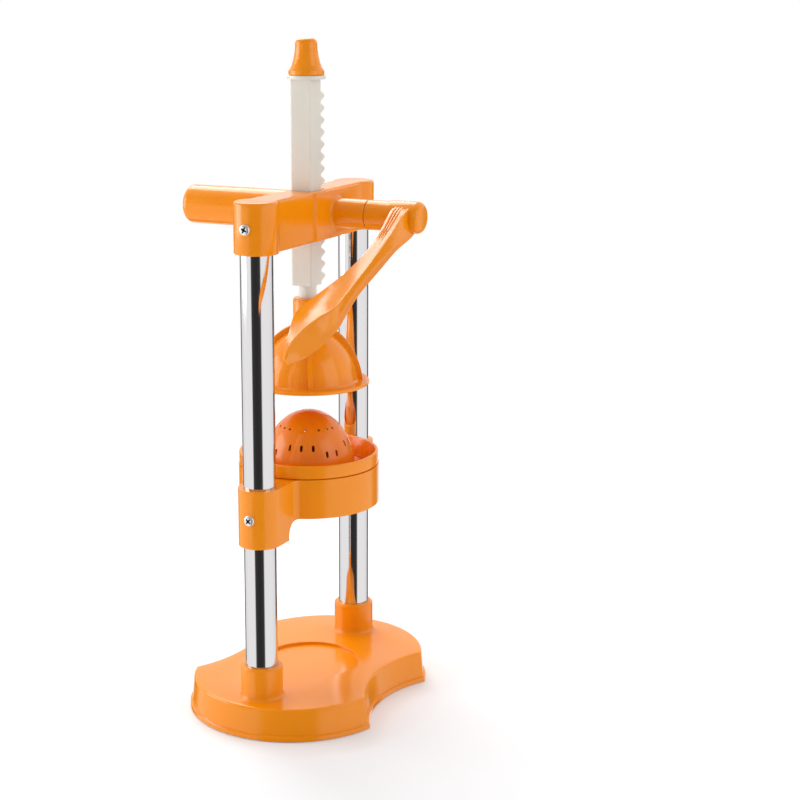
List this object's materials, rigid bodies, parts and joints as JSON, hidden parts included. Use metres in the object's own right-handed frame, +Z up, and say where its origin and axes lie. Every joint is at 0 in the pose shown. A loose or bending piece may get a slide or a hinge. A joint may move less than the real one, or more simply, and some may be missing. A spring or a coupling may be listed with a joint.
{
  "type": "lever citrus juice press",
  "caption": "Free-standing lever juice press: tube columns on a base carry a bowl with a strainer dome and a crank-driven rack that lowers a press cup.",
  "frame": {"origin": "middle of the base on the surface it stands on", "axes": "+Z up, +X along the crank shaft towards the lever, the front column at -Y"},
  "size_m": [0.2109, 0.281, 0.534],
  "materials": {
    "orange_plastic": "gloss moulded",
    "orange_strainer": "gloss moulded",
    "tube": "polished",
    "fastener": "bright",
    "white_plastic": "satin",
    "rubber": "matt",
    "bearing": "plain"
  },
  "bodies": {
    "frame": {"base_body": "orange_plastic", "base_feet": "rubber", "base_bolts": "fastener", "base_washers": "fastener", "column_plugs": "fastener", "front_column": "tube", "rear_column": "tube", "bowl_bracket": "orange_plastic", "bracket_screws": "fastener", "head_housing": "orange_plastic", "head_screws": "fastener", "pinion_cover": "orange_plastic", "cover_screws": "fastener", "left_bush": "bearing", "right_bush": "bearing", "grip_handle": "orange_plastic", "grip_screw": "fastener"},
    "crank": {"drive_shaft": "fastener", "shaft_ring": "fastener", "pinion_gear": "fastener", "pinion_key": "fastener", "lever_handle": "orange_plastic", "lever_set_screw": "fastener"},
    "ram": {"gear_rack": "white_plastic", "rack_cap": "orange_plastic", "press_cup": "orange_plastic", "cup_screw": "fastener", "cup_washer": "fastener"},
    "bowl": {"juice_bowl": "orange_plastic"},
    "strainer": {"strainer_cone": "orange_strainer"}
  },
  "joints": [
    {"name": "lever_turn", "type": "hinge", "parent": "frame", "child": "crank", "pos_m": [0, 0.02286, 0.39775], "axis": [1, 0, 0], "range_deg": [-200, 219]},
    {"name": "rack_slide", "type": "slide", "parent": "frame", "child": "ram", "axis": [0, 0, 1], "range_m": [-0.046, 0.042]},
    {"name": "bowl_lift", "type": "slide", "parent": "frame", "child": "bowl", "axis": [0, 0, 1], "range_m": [0, 0.008]},
    {"name": "strainer_lift", "type": "slide", "parent": "bowl", "child": "strainer", "axis": [0, 0, 1], "range_m": [0, 0.004]}
  ],
  "couplings": [
    {"joint": "rack_slide", "follows": "lever_turn", "m_per_rad": -0.012}
  ]
}
